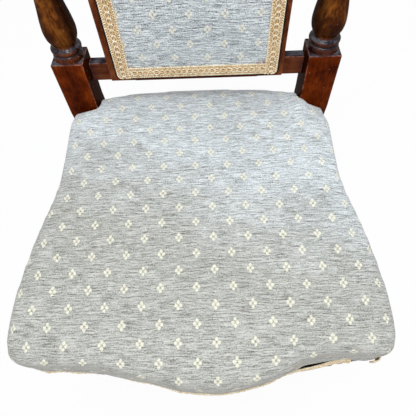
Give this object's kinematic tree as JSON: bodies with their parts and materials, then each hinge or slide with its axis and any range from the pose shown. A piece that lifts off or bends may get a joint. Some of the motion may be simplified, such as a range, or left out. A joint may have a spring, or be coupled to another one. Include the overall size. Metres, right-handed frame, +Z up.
{
  "type": "side chair",
  "caption": "Side chair with a sprung, stuffed-over seat, turned front legs, raked rear posts with turned uprights and an upholstered framed panel back",
  "frame": {"origin": "on the floor, at the middle of the chair's outline", "axes": "+Z up, the chair faces -Y, +X is to the right of someone standing in front of it"},
  "size_m": [0.4902, 0.521, 0.9],
  "materials": {
    "mahogany": "french polished, with small dents and worn edges",
    "beech": "planed, unfinished",
    "chenille": "blue-grey ribbed chenille with a small woven cream sprig",
    "gimp_braid": "woven scroll braid, dry",
    "hessian": "coarse weave",
    "stuffing": "curled hair pad",
    "jute_web": "herringbone webbing",
    "black_cloth": "thin woven cloth",
    "steel": "dull"
  },
  "bodies": {
    "root": {"rear_post_left": "mahogany", "front_leg_left": "mahogany", "panel_stile_left": "mahogany", "rear_post_right": "mahogany", "front_leg_right": "mahogany", "panel_stile_right": "mahogany", "lower_back_rail": "mahogany", "crest_rail": "mahogany", "panel_bottom_rail": "mahogany", "panel_top_rail": "mahogany", "front_seat_rail": "beech", "rear_seat_rail": "beech", "side_seat_rail_left": "beech", "front_corner_block_left": "beech", "rear_corner_block_left": "beech", "corner_screw_front_a_left": "steel", "corner_screw_front_b_left": "steel", "corner_screw_rear_a_left": "steel", "corner_screw_rear_b_left": "steel", "lower_panel_screw_left": "steel", "upper_panel_screw_left": "steel", "side_seat_rail_right": "beech", "front_corner_block_right": "beech", "rear_corner_block_right": "beech", "corner_screw_front_a_right": "steel", "corner_screw_front_b_right": "steel", "corner_screw_rear_a_right": "steel", "corner_screw_rear_b_right": "steel", "lower_panel_screw_right": "steel", "upper_panel_screw_right": "steel", "cross_webbing_1": "jute_web", "long_webbing_1": "jute_web", "cross_webbing_2": "jute_web", "long_webbing_2": "jute_web", "cross_webbing_3": "jute_web", "long_webbing_3": "jute_web", "seat_spring_1": "steel", "seat_spring_2": "steel", "seat_spring_3": "steel", "seat_spring_4": "steel", "seat_spring_5": "steel", "spring_canvas": "hessian", "panel_canvas": "hessian", "seat_stuffing": "stuffing", "panel_stuffing": "stuffing", "seat_cover": "chenille", "panel_cover": "chenille", "outside_back_cover": "chenille", "seat_gimp": "gimp_braid", "rear_seat_gimp": "gimp_braid", "panel_gimp": "gimp_braid", "outside_back_gimp": "gimp_braid", "dust_cover": "black_cloth"}
  },
  "joints": []
}
